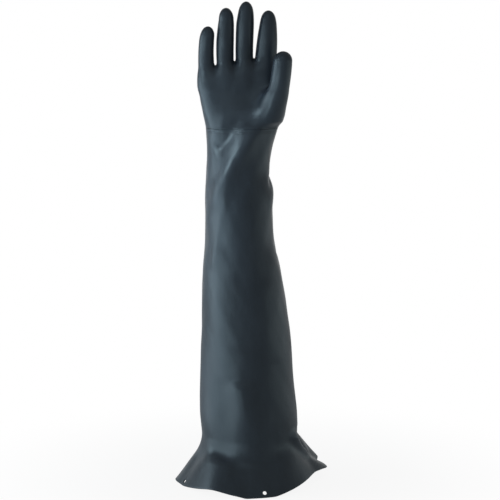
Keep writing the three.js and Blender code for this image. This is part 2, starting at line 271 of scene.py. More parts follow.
sides = body(np.array([0.0, 180.0]), WRIST_Z)[:, 0]
print("at the wrist the sleeve is", round(float(sides[0] - sides[1]), 1), "mm wide")

# %% [markdown]
# ## The flange
#
# Below its waist the sleeve turns out into a flange, which on a cabinet lies round the arm port and is held
# by studs. Off the cabinet it stands in waves. A plain funnel with a wavy edge would do from afar, but here
# the hem is listed by angle: its radius, how high it lifts off the floor, and its bend, which is how far
# the rubber still runs straight down before it turns out. From there it runs straight to the hem, and the
# turn itself is rounded.

# %% The hem, round from the thumb side over the back
HEM = table(
    "angle radius lift bend",
    (-22, 107, 15, 18),
    (-10, 110, 17, 21),
    (0, 120, 16.5, 20),
    (11, 131, 14, 16),
    (20, 121, 17, 2),
    (31, 131, 21, 0),
    (46, 114, 8, 14),
    (66, 108, -3, 22),
    (88, 120, -4, 22),
    (118, 107, 6, 22),
    (146, 119, -4, 22),
    (168, 112, 2, 22),
    (183, 124, 0, 20),
    (199, 120, 1, 22),
    (222, 119, 6.5, 13),
    (240, 122, 11.5, 14),
    (259, 123, 6, 24),
    (274, 119, -1, 22),
    (290, 117, 1.5, 24),
    (306, 115, 8, 15),
    (322, 111, 13, 14),
    (338, 108, 16, 18),
    (350, 110, 17, 21),
    (360, 120, 16.5, 20),
    (371, 131, 14, 16),
)
print("hem radius from", HEM["radius"].min(), "to", HEM["radius"].max(), "mm")

# %% The flange between the waist and the hem
UP = np.array([0.0, 0.0, 1.0])
BEND_ROUND = 24.0  # how far before and after the bend its turn is rounded, at the most
LEAST_BEND = 1.0


def smooth_min(a, b, blend):
    """The smaller of two values, rounded where they are within the blend of each other: their difference
    falls short of the blend by some amount, and a quarter of its square over the blend is taken off."""
    short = np.maximum(blend - np.abs(a - b), 0)
    return np.minimum(a, b) - short**2 / (4 * blend)


def flange(phi, share):
    """Point of the flange at an angle and a share of the way from the waist to the hem: straight down to the
    bend, then straight out to the hem, with a rounded turn between. The way past the bend is the smooth
    maximum of zero and the way less the bend. The folds run on and stand out square to this line."""
    around = np.mod(phi, TURN)
    names = ("radius", "lift", "bend")
    radius, lift, bend = (smooth(HEM, "angle", name, around)[..., None] for name in names)
    cos, sin = (part[..., None] for part in direction(phi))
    bend = np.maximum(bend, LEAST_BEND)
    waist = body(phi, np.full(np.shape(phi), WAIST_Z), folded=False)
    hem = np.concatenate([radius * cos, radius * sin, np.maximum(lift, HEM_LOWEST)], -1)
    turn = waist - bend * UP
    length = np.linalg.norm(hem - turn, axis=-1, keepdims=True)
    out = (hem - turn) / length
    round_off = np.minimum(bend, BEND_ROUND)
    way = share[..., None] * (bend + length) - bend
    past = -smooth_min(-way, 0, round_off)
    point = turn + past * out + (past - way) * UP
    turned = np.clip(0.5 + way / (2 * round_off), 0, 1)
    tangent = turned * out - (1 - turned) * UP
    rise = tangent[..., :1] * cos + tangent[..., 1:2] * sin
    normal = np.concatenate([-tangent[..., 2:] * cos, -tangent[..., 2:] * sin, rise], -1)
    normal /= np.linalg.norm(normal, axis=-1, keepdims=True)
    folds = relief(phi, WAIST_Z * (1 - share)) + waviness(phi, WAIST_Z * (1 - share))
    point = point + folds[..., None] * normal
    return np.concatenate([point[..., :2], np.maximum(point[..., 2:], HEM_LOWEST)], -1)


print("to the front the hem is at", np.round(flange(np.array([270.0]), np.array([1.0]))[0], 1), "mm")

# %% [markdown]
# ## The skin of the sleeve
#
# The flange and the body together are one skin. Just under the joint the mould has left two faint lines.
# They could be a bump in the material, but as shallow grooves in the mesh they catch the light as real ones
# do.

# %% One function for the whole sleeve
CUFF_LINES = (3.4, 6.2)  # how far the two lines are under the joint
LINE_DEPTH = 0.22
LINE_WIDTH = 0.7


def skin(phi, level):
    """The whole sleeve: level 0 is the hem, 1 the waist, and from there to 2 it rises to the wrist."""
    top = WRIST_Z - JOINT_GAP / 2
    on_flange = flange(phi, np.clip(1 - level, 0, 1))
    above = body(phi, WAIST_Z + (np.clip(level, 1, 2) - 1) * (top - WAIST_Z))
    cos, sin = direction(phi)
    outwards = np.stack([cos, sin, 0 * phi], -1)
    for below in CUFF_LINES:
        line = LINE_DEPTH * np.exp(-(((top - below - above[..., 2]) / LINE_WIDTH) ** 2))
        above = above - line[..., None] * outwards
    return np.where((level < 1)[..., None], on_flange, above)


print("the skin ends at", round(float(skin(np.array([0.0]), np.array([2.0]))[0, 2]), 2), "mm")

# %% [markdown]
# ## The sleeve as a mesh
#
# The skin is a grid: one column for each angle, one row for each level. Rows stand closer together at the
# hem and under the wrist, where the surface has more to show. The rubber itself is 2 mm thick, so the
# Solidify modifier gives the skin its wall and a small Bevel rounds the cut edges. That is easier than a
# second surface on the inside, and the wall stays equally thick everywhere.

# %% Helpers that turn arrays into Blender objects


def grid_faces(rows, columns):
    """Four-sided faces between the rows and columns of a grid whose last column joins the first."""
    row = np.arange(rows - 1)[:, None] * columns
    here = np.arange(columns)[None, :]
    there = (here + 1) % columns
    return np.stack([row + here, row + there, row + columns + there, row + columns + here], -1).reshape(-1, 4)


def make_object(name, points_mm, faces):
    """A mesh object from millimetre points round the cuff's axis. Points that no face uses are left out."""
    used, faces = np.unique(faces, return_inverse=True)
    mesh = bpy.data.meshes.new(name)
    mesh.from_pydata((points_mm[used] + AXIS) * MM, [], faces.reshape(-1, 4))
    mesh.validate()
    thing = bpy.data.objects.new(name, mesh)
    bpy.context.scene.collection.objects.link(thing)
    return thing


print("a grid of 3 rows and 8 columns has", len(grid_faces(3, 8)), "faces")

# %% The wall and its rounded edges
EDGE_ROUND = 0.45
EDGE_STEPS = 2
EDGE_ANGLE = 66.0  # degrees; only the cut edges are as sharp as that


def finish_mesh(thing):
    """Gives the skin its wall and rounded edges with modifiers, applies them, and shades it smooth."""
    wall = thing.modifiers.new("wall", "SOLIDIFY")
    wall.thickness = WALL * MM
    wall.offset = -1
    edge = thing.modifiers.new("soft_edges", "BEVEL")
    edge.width = EDGE_ROUND * MM
    edge.segments = EDGE_STEPS
    edge.angle_limit = radians(EDGE_ANGLE)
    made = bpy.data.meshes.new_from_object(thing.evaluated_get(bpy.context.evaluated_depsgraph_get()))
    thing.modifiers.clear()
    thing.data = made
    made.shade_smooth()
    triangles = sum(len(face.vertices) - 2 for face in made.polygons)
    print(thing.name, len(made.vertices), "points,", triangles, "triangles")


print("the wall is", WALL, "mm thick and its cut edges are rounded by", EDGE_ROUND, "mm")

# %% The rows and columns of the sleeve's grid
COLUMNS = 224
FLANGE_ROWS = 34
BODY_ROWS = 142
WRIST_ROWS = 22
WRIST_BAND = 0.018  # the closer rows under the wrist take up this much of the levels


def sleeve_levels():
    """Levels of the grid's rows: the flange evenly, the body evenly, and closer rows under the wrist."""
    near_wrist = np.linspace(2 - WRIST_BAND, 2, WRIST_ROWS)
    on_body = np.linspace(1, near_wrist[0], BODY_ROWS)
    return np.concatenate([np.linspace(0, 1, FLANGE_ROWS)[:-1], on_body[:-1], near_wrist])


print("a grid of", len(sleeve_levels()), "rows and", COLUMNS, "columns")

# %% [markdown]
# ## Stud holes
#
# Four holes are punched through the flange for the studs. A Boolean would cut them, but it leaves long thin
# triangles in a smooth surface. So here a block of the grid is taken out for each hole and filled with
# rings that pass from the block's square edge to the round hole.

# %% A hole in the grid
HOLE_RADIUS = 3.2
HOLE_SHARE = 0.913  # of the way from the waist to the hem
HOLE_ANGLES = (18, 112, 202, 282)
HOLE_RINGS = 5
BLOCK_HALF = 7.0  # half the side of the block that makes room for a hole
LEVEL_STEP = 0.02  # the skin is measured this much above and below the hole


def hole_patch(levels, angle, share):
    """Rings from the edge of a block of the grid to a hole: each ring goes a share of the way from the
    block's edge point to the circle's point in the same direction, in angle and level, and is laid on the
    skin. Gives the block's rows and columns, the numbers of its edge's points, and the rings' points."""
    step = TURN / COLUMNS
    phi, level = np.array([angle]), np.array([1 - share])
    mm_per_degree = np.linalg.norm(skin(phi + 1, level) - skin(phi - 1, level)) / 2
    rise = skin(phi, level + LEVEL_STEP) - skin(phi, level - LEVEL_STEP)
    mm_per_level = np.linalg.norm(rise) / (2 * LEVEL_STEP)
    column = round(angle / step)
    wide = round(BLOCK_HALF / (step * mm_per_degree))
    low = int(np.searchsorted(levels, 1 - share - BLOCK_HALF / mm_per_level))
    high = int(np.searchsorted(levels, 1 - share + BLOCK_HALF / mm_per_level))
    left, right = column - wide, column + wide
    columns = np.concatenate([np.arange(left, right), np.full(high - low, right), np.arange(right, left, -1),
                              np.full(high - low, left)])
    rows = np.concatenate([np.full(right - left, low), np.arange(low, high), np.full(right - left, high),
                           np.arange(high, low, -1)])
    edge = np.stack([(columns * step - angle) * mm_per_degree, (levels[rows] - (1 - share)) * mm_per_level])
    circle = edge / np.linalg.norm(edge, axis=0) * HOLE_RADIUS
    reach = np.linspace(0, 1, HOLE_RINGS + 1)[1:, None, None]
    rings = edge + (circle - edge) * reach
    points = skin(angle + rings[:, 0] / mm_per_degree, 1 - share + rings[:, 1] / mm_per_level)
    return (low, high, left, right), rows * COLUMNS + columns % COLUMNS, points


print("holes of", 2 * HOLE_RADIUS, "mm at", HOLE_ANGLES, "degrees")

# %% The sleeve with its four holes


def sleeve_surface():
    """Points and faces of the sleeve's outer skin, with the holes' blocks replaced by their rings."""
    levels = sleeve_levels()
    at_level, at_phi = np.meshgrid(levels, np.arange(COLUMNS) * TURN / COLUMNS, indexing="ij")
    points = skin(at_phi, at_level).reshape(-1, 3)
    faces = grid_faces(len(levels), COLUMNS).reshape(len(levels) - 1, COLUMNS, 4)
    keep = np.ones(faces.shape[:2], bool)
    added = []
    for angle in HOLE_ANGLES:
        (low, high, left, right), edge, rings = hole_patch(levels, angle, HOLE_SHARE)
        keep[np.ix_(np.arange(low, high), np.arange(left, right) % COLUMNS)] = False
        new = len(points) + np.arange(rings.shape[0] * len(edge)).reshape(-1, len(edge))
        numbers = np.concatenate([edge[None], new])
        around = np.roll(numbers, -1, axis=1)
        added.append(np.stack([numbers[:-1], around[:-1], around[1:], numbers[1:]], -1).reshape(-1, 4))
        points = np.concatenate([points, rings.reshape(-1, 3)])
    return points, np.concatenate([faces[keep], *added])


sleeve = make_object("rubber_sleeve", *sleeve_surface())
finish_mesh(sleeve)

# %% [markdown]
# ## The hand
#
# A moulded hand has no edges at all: each finger swells out of the palm, and the webs between them are
# little saddles. Tubes joined by a Boolean would meet in hard creases, so the hand is a field instead: a
# function that is below zero inside the rubber and above zero outside. Palm, fingers and thumb each have a
# simple field, and a smooth minimum joins them with a fillet. The surface is where the joined field is
# zero.
#
# Each finger is a row of rings up its middle. A ring's flat says how many times thinner it is from front to
# back than it is wide, and tip is how tall the rounded end is. Most first rings have a radius below zero, so
# the finger starts as nothing inside the palm and grows out of it.

# %% Rings of the fingers and the thumb
FINGERS = {
    "little": dict(tip=16, rings=table(
        "z x y radius flat",
        (612, -64, 2, -8, 1), (640, -67.4, 1.5, 12.4, 0.954), (660, -69.2, 1.3, 13, 0.985),
        (678, -70, 1, 12.9, 1.01), (700, -70.3, -0.5, 12.4, 1.02), (720, -69.2, -3.8, 12, 1),
        (731, -67.7, -6.2, 11.4, 1), (742, -66.9, -8.5, 11.2, 1))),
    "ring": dict(tip=17, rings=table(
        "z x y radius flat",
        (612, -36, 2, -8, 0.77), (645, -38, 1.5, 11.5, 0.77), (672, -39.4, 1.2, 13.2, 0.805),
        (690, -39.9, 0.5, 13.9, 0.927), (706, -40, -0.6, 14.1, 0.993), (722, -39.6, -2.8, 14, 1),
        (745, -38.2, -6.4, 12.8, 1), (754, -37.8, -8, 11.9, 1), (771, -38, -11.5, 11.5, 1))),
    "middle": dict(tip=20, rings=table(
        "z x y radius flat",
        (612, -11, 2, -8, 0.77), (645, -10, 1.5, 11.5, 0.77), (676, -9.4, 1.2, 13.7, 0.835),
        (694, -9.1, 0.4, 14.1, 0.94), (710, -9, -0.6, 14.2, 0.993), (745, -7.8, -5.2, 14.2, 1),
        (757, -7, -7.2, 13.2, 1), (764, -6.6, -8.5, 12.4, 1), (781, -6, -11.5, 12, 1))),
    "index": dict(tip=19, rings=table(
        "z x y radius flat",
        (612, 18, 2, -8, 1.1), (645, 22, 1.4, 12.5, 1.1), (672, 24, 1.2, 15.9, 1.18),
        (690, 25.2, 0, 17.2, 1.22), (708, 26.5, -1.2, 16.9, 1.12), (726, 27.7, -3.6, 15.8, 1.04),
        (745, 28.8, -6.8, 13.7, 1), (752, 29, -8, 12.7, 1), (767, 29.2, -11, 12.7, 1))),
    "thumb": dict(tip=15, rings=table(
        "z x y radius flat",
        (566, 22, -10, 2, 1), (582, 25, -14, 16.5, 1), (593, 28, -17.5, 20.5, 1),
        (605, 32, -21.5, 22, 1), (622, 38, -27.5, 21, 1), (636, 42, -33.5, 19.4, 1),
        (645, 45, -37.6, 17.3, 1), (655, 47.4, -41, 16.2, 1), (670, 49.5, -44.5, 15.8, 1),
        (686, 51.3, -47.3, 15.1, 1), (703, 52, -49.5, 14.5, 1))),
}
print("the tallest finger ends at", max(finger["rings"]["z"][-1] for finger in FINGERS.values()), "mm")

# %% The field of a finger


def finger_field(finger, x, y, z):
    """Distance from a finger's centre line at the same height, less its radius, where the way to the front or
    back counts flat times. Near the tip the height counts too, which makes the end half an ellipsoid."""
    rings, tall = finger["rings"], finger["tip"]
    cx, cy, radius, flat = (smooth(rings, "z", name, z) for name in ("x", "y", "radius", "flat"))
    above = np.maximum(z - (rings["z"][-1] - tall), 0) * radius / tall
    return np.sqrt((x - cx) ** 2 + ((y - cy) * flat) ** 2 + above**2) - radius


thumb_middle = finger_field(FINGERS["thumb"], 38.0, -27.5, 622.0)
print("in the middle of the thumb's root its field is", float(thumb_middle), "mm")

# %% [markdown]
# ## The palm
#
# The palm carries the sleeve's own sections on upwards, so the two pieces meet without a step, and the
# folds at the wrist run over the joint. It has a hollow in its middle and low ridges that lead to the
# fingers, which a sculpt brush could draw too. Here each is a bell along a straight line, given by its ends
# seen from the front.

# %% The palm's top and its relief
TOP_Z = 685.0  # height of the palm's top at the axis
TOP_SLOPE = 0.16  # the crotches climb from the little finger to the index finger
TOP_ROUND = 20.0
FOLDS_FADE, FOLDS_END = 582, 612  # the sleeve's folds die away between these heights
PALM_SIDE = (2, -8)  # the palm's relief comes up from none to all between these depths from the middle
PALM_FOLDS = {
    "hollow": dict(start=(0, 630), end=(4, 650), width=25, relief=-3.0),
    "outer_flat": dict(start=(-34, 622), end=(-32, 650), width=26, relief=-0.8),
    "ring_ridge": dict(start=(-39, 684), end=(-21, 652), width=11, relief=1.4),
    "middle_ridge": dict(start=(-4, 692), end=(10, 668), width=11, relief=0.7),
    "little_side": dict(start=(-67, 604), end=(-67, 650), width=12, relief=1.3),
}
TINY = 1e-9  # keeps zero from being raised to a negative power
LEAST_SLOPE = 1e-4  # keeps the palm's middle from a division by zero
FIELD_LIMITS = (-25, 60)  # further from the skin than this the palm's field is level


def palm_relief(x, y, z):
    """Height of the palm's ridges and its hollow: for each, its relief times a bell of the distance to its
    line as seen from the front, on the palm's side of the hand only."""
    out = 0
    palm_side = step_up(*PALM_SIDE, y)
    for fold in PALM_FOLDS.values():
        (from_x, from_z), (to_x, to_z) = fold["start"], fold["end"]
        run_x, run_z = to_x - from_x, to_z - from_z
        along = np.clip(((x - from_x) * run_x + (z - from_z) * run_z) / (run_x**2 + run_z**2), 0, 1)
        away = (x - from_x - along * run_x) ** 2 + (z - from_z - along * run_z) ** 2
        out = out + fold["relief"] * np.exp(-away / fold["width"] ** 2) * palm_side
    return out


def palm_field(x, y, z):
    """Distance from the sleeve's own section carried on upwards, to first order: the superellipse's value
    less one, over its slope, less the folds. Level at the top, where a smooth maximum rounds it off."""
    cx, cy, half_x, half_y, power = section(z)
    u, v = np.abs(x - cx) / half_x, np.abs(y - cy) / half_y
    value = (u**power + v**power + TINY) ** (1 / power)
    slope = value ** (1 - power) * np.hypot(u ** (power - 1) / half_x, v ** (power - 1) / half_y)
    near = np.clip((value - 1) / np.maximum(slope, LEAST_SLOPE), *FIELD_LIMITS)
    out = np.zeros(near.shape)
    low = np.broadcast_to(z < FOLDS_END, near.shape)
    phi = np.broadcast_to(np.degrees(np.arctan2((y - cy) / half_y, (x - cx) / half_x)), near.shape)[low]
    height = np.broadcast_to(z, near.shape)[low]
    out[low] = (relief(phi, height) + waviness(phi, height)) * (1 - step_up(FOLDS_FADE, FOLDS_END, height))
    out = out + palm_relief(x, y - cy, z)
    top = z - (TOP_Z + TOP_SLOPE * x)
    return -smooth_min(out - near, -top, TOP_ROUND)


wrist_middle = palm_field(*np.array([[0.0], [0.0], [WRIST_Z]]))[0]
print("in the middle of the wrist the palm's field is", round(float(wrist_middle), 1), "mm")

# %% The whole hand as one field
THUMB_BLEND = 22.0
FINGER_BLEND = 10.0
BETWEEN_FINGERS = 3.0


def hand_field(x, y, z):
    """The palm joined to the thumb, and that to the fingers, by smooth minimums. Among themselves the
    fingers have a much tighter one, which keeps the narrow gaps between them open."""
    parts = {name: finger_field(finger, x, y, z) for name, finger in FINGERS.items()}
    palm_and_thumb = smooth_min(palm_field(x, y, z), parts.pop("thumb"), THUMB_BLEND)
    fingers = parts.pop("little")
    for part in parts.values():
        fingers = smooth_min(fingers, part, BETWEEN_FINGERS)
    return smooth_min(palm_and_thumb, fingers, FINGER_BLEND)


print("one field for the palm,", len(FINGERS) - 1, "fingers and the thumb")

# %% [markdown]
# ## From the field to a mesh
#
# The field is sampled on a fine block of points. Each little cell that the surface passes through gets one
# vertex, at the mean of the places where the cell's edges cross zero, and each crossed edge gets a
# four-sided face between the four cells round it. This is known as a surface net, and it gives more even
# faces than marching cubes or Blender's own metaballs.

# %% A surface net
CELL = 1.7
FINGER_TOP = 782.0
BLOCK_LOW = np.array([-88.0, -70.0])
BLOCK_HIGH = np.array([72.0, 50.0])
AROUND_EDGE = np.array([(-1, -1), (0, -1), (0, 0), (-1, 0)])  # steps to the four cells round an edge


def surface_net(values, low, cell):
    """The surface where a sampled block of values is zero: its points, the layer of cells that each of them
    is in, and its faces. An edge of the block whose ends differ in sign is crossed at the share of its
    length where the straight line between its two values is zero."""
    inside = values < 0
    total = np.zeros(tuple(n - 1 for n in values.shape) + (3,))
    count = np.zeros(total.shape[:3])
    quads = []
    for axis in range(3):
        others = [other for other in range(3) if other != axis]
        first = tuple(slice(0, -1) if a == axis else slice(None) for a in range(3))
        second = tuple(slice(1, None) if a == axis else slice(None) for a in range(3))
        crossed = np.argwhere(inside[first] != inside[second])
        before, after = values[first][tuple(crossed.T)], values[second][tuple(crossed.T)]
        place = crossed.astype(float)
        place[:, axis] += before / (before - after)
        cells = np.repeat(crossed[:, None], 4, axis=1)
        cells[..., others] += AROUND_EDGE
        whole = ((cells >= 0) & (cells < total.shape[:3])).all((1, 2))
        for corner in range(4):
            np.add.at(total, tuple(cells[whole, corner].T), place[whole])
            np.add.at(count, tuple(cells[whole, corner].T), 1)
        outwards = (before < 0) == (axis != 1)
        order = np.where(outwards[:, None], [0, 1, 2, 3], [3, 2, 1, 0])
        quads.append(np.take_along_axis(cells, order[..., None], 1)[whole])
    corners = np.concatenate(quads).reshape(-1, 3)
    used, faces = np.unique(np.ravel_multi_index(tuple(corners.T), count.shape), return_inverse=True)
    points = low + cell * total.reshape(-1, 3)[used] / count.reshape(-1, 1)[used]
    return points, np.unravel_index(used, count.shape)[2], faces.reshape(-1, 4)


print("cells of", CELL, "mm")

# %% [markdown]
# ## Even points on the exact surface
#
# The net's points lie a little beside the surface, and they are crowded in places. Blender's Smooth
# modifier would even them out, but it also shrinks the fingers. So the points are first moved onto the
# surface along the field's slope, and then each goes towards the mean of its neighbours, but only along the
# surface.

# %% Moves that perfect the net
SLOPE_REACH = 0.05
RELAX_SHARE = 0.5


def slope_of(points):
    """Slope of the hand's field at points: for each axis, how much the field grows over a small way either
    side of the point, over the length of that way."""
    slopes = []
    for axis in np.eye(3) * SLOPE_REACH:
        slopes.append((hand_field(*(points + axis).T) - hand_field(*(points - axis).T)) / (2 * SLOPE_REACH))
    return np.stack(slopes, -1)


def onto_surface(points):
    """Moves points along the field's slope by the field's value over the slope's length squared."""
    slope = slope_of(points)
    return points - slope * (hand_field(*points.T) / (slope**2).sum(-1))[:, None]


def relax(points, faces):
    """Moves each point part of the way to the mean of its neighbours, along the surface only."""
    total, count = np.zeros_like(points), np.zeros(len(points))
    for a, b in ((0, 1), (1, 2), (2, 3), (3, 0)):
        for here, there in ((faces[:, a], faces[:, b]), (faces[:, b], faces[:, a])):
            count += np.bincount(here, minlength=len(points))
            for axis in range(3):
                total[:, axis] += np.bincount(here, points[there, axis], len(points))
    move = total / np.maximum(count, 1)[:, None] - points
    normal = slope_of(points)
    normal /= np.linalg.norm(normal, axis=-1, keepdims=True)
    return points + RELAX_SHARE * (move - (move * normal).sum(-1, keepdims=True) * normal)


print("each move goes", RELAX_SHARE, "of the way")

# %% [markdown]
# ## The hand's skin and its cut at the wrist
#
# The real hand ends in a level rim that meets the sleeve's. The net would end in steps there, so it runs on
# a little below the joint, passes over to the sleeve's own section, and is then cut level, as with a knife.
# In Blender's window that cut is the Bisect tool.

# %% The hand's outer skin
BELOW_WRIST = 3.5 * CELL
MOVES_ON = 2  # moves onto the surface
MOVES_ALONG = 3  # moves along it
JOIN_START, JOIN_END = 1, 12  # heights over the joint between which the skin leaves the sleeve's section


def join_sleeve(points, wrist):
    """Passes over to the section that the sleeve ends with: up to the start of the join a point moves to
    the body's point at its own angle and height, and from there to the end of the join it moves a smaller
    and smaller share of that way. Gives the points and their shares."""
    cx, cy, half_x, half_y, _ = section(points[:, 2])
    phi = np.degrees(np.arctan2((points[:, 1] - cy) / half_y, (points[:, 0] - cx) / half_x))
    share = 1 - step_up(wrist + JOIN_START, wrist + JOIN_END, points[:, 2])
    return points + share[:, None] * (body(phi, points[:, 2]) - points), share


def hand_surface(wrist):
    """The hand's outer skin: the net of its field without its lowest layer, made even and joined to the
    sleeve's section. The lowest layer that is left isn't relaxed, because the net ends there."""
    low = np.array([*BLOCK_LOW, wrist - BELOW_WRIST])
    shape = np.ceil((np.array([*BLOCK_HIGH, FINGER_TOP]) - low) / CELL).astype(int) + 1
    x, y, z = (low[a] + CELL * np.arange(shape[a]) for a in range(3))
    values = hand_field(x[:, None, None], y[None, :, None], z[None, None, :])
    points, layer, faces = surface_net(values, low, CELL)
    faces = faces[(layer[faces] >= 1).all(1)]
    used, faces = np.unique(faces, return_inverse=True)
    points, layer, faces = points[used], layer[used], faces.reshape(-1, 4)
    for _ in range(MOVES_ON):
        points = onto_surface(points)
    for _ in range(MOVES_ALONG):
        loose = (layer > 1)[:, None]
        points = onto_surface(np.where(loose, relax(points, faces), points))
    points, share = join_sleeve(points, wrist)
    free = points[share == 0]
    print("the points miss the surface by", round(float(np.abs(hand_field(*free.T)).max()), 5), "mm at most")
    return points, faces


# %% The level cut
CUT_SNAP = 0.25  # points nearer to the cut than this are set on it


def cut_level(thing, height):
    """Cuts away what lies below a height. Points very near to it are set on it first, so that the cut
    leaves no slivers."""
    work = bmesh.new()
    work.from_mesh(thing.data)
    everything = work.verts[:] + work.edges[:] + work.faces[:]
    bmesh.ops.bisect_plane(work, geom=everything, dist=CUT_SNAP * MM, plane_co=(0, 0, height * MM),
                           plane_no=(0, 0, 1), use_snap_center=True, clear_inner=True)
    work.to_mesh(thing.data)
    work.free()


WRIST_CUT = WRIST_Z + JOINT_GAP / 2
hand = make_object("rubber_hand", *hand_surface(WRIST_CUT))
cut_level(hand, WRIST_CUT)
finish_mesh(hand)

# %% [markdown]
# ## The rubber
#
# Dipped rubber is nearly black with a cold blue cast, and semi-matte: it mirrors a large lamp as a soft
# band. Its skin is finely pebbled, and dust and bloom make it a little lighter and duller in patches. A
# flat black plastic would look like nothing, so colour, roughness and relief each get their own noise.

# %% Small helpers for node trees


def add_node(tree, kind, **settings):
    """Adds a node of a kind. A setting goes to the input of that name, or else to the node itself."""
    node = tree.nodes.new(kind)
    for name, value in settings.items():
        if name in node.inputs:
            node.inputs[name].default_value = value
        else:
            setattr(node, name, value)
    return node


def map_range(tree, value, old, new, **settings):
    """Stretches a value from one range, given by its two ends, to another, and gives the node's result."""
    node = add_node(tree, "ShaderNodeMapRange", **settings)
    for name, limit in zip(("From Min", "From Max", "To Min", "To Max"), (*old, *new)):
        node.inputs[name].default_value = limit
    tree.links.new(value, node.inputs["Value"])
    return node.outputs["Result"]


# %% Colours, gloss and noises of the rubber
DARK = (0.015, 0.021, 0.029)
LIGHT = (0.023, 0.031, 0.042)
COLOUR_STOPS = (0.38, 0.64)  # where the bloom turns from dark to light
SHEEN_TINT = (0.82, 0.96, 1.0)  # the cold cast of what the rubber mirrors
REFRACTION = 1.5
ROUGHNESS = (0.33, 0.42)
BLOOM_RANGE = (0.35, 0.65)
STREAK_SHARE = 0.4  # how much of the bloom is streaks, and the rest is clouds
STREAK_SQUASH = 0.22  # the streaks' scale along the glove, against one across it, which draws them out
NOISES = {
    "clouds": dict(Scale=9.0, Detail=5.0, Roughness=0.55),  # patches as wide as a hand
    "streaks": dict(Scale=55.0, Detail=4.0, Roughness=0.6),  # 2 cm wide and 8 cm long
    "orange_peel": dict(Scale=150.0, Detail=2.0, Roughness=0.5),  # dimples some millimetres wide
    "pebbles": dict(Scale=950.0, Detail=3.0, Roughness=0.6),  # the grain, one millimetre wide
}
BUMPS = {  # how strongly the two finest noises tilt the surface, and how high they are in metres
    "orange_peel": dict(Strength=0.30, Distance=0.0004),
    "pebbles": dict(Strength=0.25, Distance=0.0001),
}


def rubber_material():
    """Near-black rubber. Clouds and streaks are mixed into a bloom, which sets colour and roughness, and
    the two finer noises tilt the surface one after the other."""
    material = bpy.data.materials.new("black_rubber")
    material.use_nodes = True
    tree = material.node_tree
    link = tree.links.new
    shader = tree.nodes["Principled BSDF"]
    shader.inputs["IOR"].default_value = REFRACTION
    shader.inputs["Specular Tint"].default_value = (*SHEEN_TINT, 1)

    place = add_node(tree, "ShaderNodeTexCoord").outputs["Object"]
    drawn_out = add_node(tree, "ShaderNodeMapping", Scale=(1, 1, STREAK_SQUASH))
    link(place, drawn_out.inputs["Vector"])
    grey = {}
    for name, settings in NOISES.items():
        noise = add_node(tree, "ShaderNodeTexNoise", **settings)
        link(drawn_out.outputs["Vector"] if name == "streaks" else place, noise.inputs["Vector"])
        grey[name] = noise.outputs["Fac"]

    bloom = add_node(tree, "ShaderNodeMix", data_type="FLOAT", Factor=STREAK_SHARE)
    link(grey["clouds"], bloom.inputs["A"])
    link(grey["streaks"], bloom.inputs["B"])
    colour = add_node(tree, "ShaderNodeValToRGB")
    for stop, position, shade in zip(colour.color_ramp.elements, COLOUR_STOPS, (DARK, LIGHT)):
        stop.position, stop.color = position, (*shade, 1)
    link(bloom.outputs["Result"], colour.inputs["Fac"])
    link(colour.outputs["Color"], shader.inputs["Base Color"])
    link(map_range(tree, bloom.outputs["Result"], BLOOM_RANGE, ROUGHNESS), shader.inputs["Roughness"])

    bumps = {name: add_node(tree, "ShaderNodeBump", **settings) for name, settings in BUMPS.items()}
    for name, bump in bumps.items():
        link(grey[name], bump.inputs["Height"])
    link(bumps["orange_peel"].outputs["Normal"], bumps["pebbles"].inputs["Normal"])
    link(bumps["pebbles"].outputs["Normal"], shader.inputs["Normal"])
    return material


print(len(NOISES), "noises, the coarsest about", round(1 / NOISES["clouds"]["Scale"] / MM), "mm wide")

# %% The rubber on both pieces
rubber = rubber_material()
for piece, node in ((hand, "hand"), (sleeve, "sleeve")):
    piece.data.materials.clear()
    piece.data.materials.append(rubber)
    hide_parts(node)
    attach(piece, "root")
print("rubber on", hand.name, "and", sleeve.name)

# %% [markdown]
# ## The floor
#
# The glove stands on a plain pale floor. A studio would hang a paper sweep behind it, whose bend hides the
# horizon. Here a large disc does that: near the glove it takes a soft shadow, and further out it turns to
# plain white light, the same as the background. From here on, lengths are in metres.

# %% The floor
FLOOR_RADIUS = 3.5
FLOOR_RINGS = 24
FLOOR_SPOKES = 96
RING_START = 0.02  # share of the radius where the rings start, before the power
RING_POWER = 1.5  # sets the rings closer together near the glove
FLOOR_COLOUR = (0.86, 0.87, 0.88)
FLOOR_ROUGHNESS = 0.9
FLOOR_GLOSS = 0.1
GLOW_DISTANCES = (0.12, 0.6)
GLOW_SHARES = (0.9, 1.0)  # how much of the floor is light at these distances from the middle


def floor_material():
    """Pale matt paint that gives way to plain white light: a smooth step of the distance from the middle
    says how much of it is light, and only for what the camera sees."""
    material = bpy.data.materials.new("pale_floor")
    material.use_nodes = True
    tree = material.node_tree
    link = tree.links.new
    paint = tree.nodes["Principled BSDF"]
    paint.inputs["Roughness"].default_value = FLOOR_ROUGHNESS
    paint.inputs["Specular IOR Level"].default_value = FLOOR_GLOSS
    paint.inputs["Base Color"].default_value = (*FLOOR_COLOUR, 1)
    glow = add_node(tree, "ShaderNodeEmission", Strength=1.0)
    distance = add_node(tree, "ShaderNodeVectorMath", operation="LENGTH")
    link(add_node(tree, "ShaderNodeTexCoord").outputs["Object"], distance.inputs[0])
    share = map_range(tree, distance.outputs["Value"], GLOW_DISTANCES, GLOW_SHARES,
                      interpolation_type="SMOOTHSTEP")
    seen = add_node(tree, "ShaderNodeMath", operation="MULTIPLY")
    link(share, seen.inputs[0])
    link(add_node(tree, "ShaderNodeLightPath").outputs["Is Camera Ray"], seen.inputs[1])
    mix = add_node(tree, "ShaderNodeMixShader")
    link(seen.outputs["Value"], mix.inputs["Fac"])
    link(paint.outputs["BSDF"], mix.inputs[1])
    link(glow.outputs["Emission"], mix.inputs[2])
    link(mix.outputs["Shader"], tree.nodes["Material Output"].inputs["Surface"])
    return material


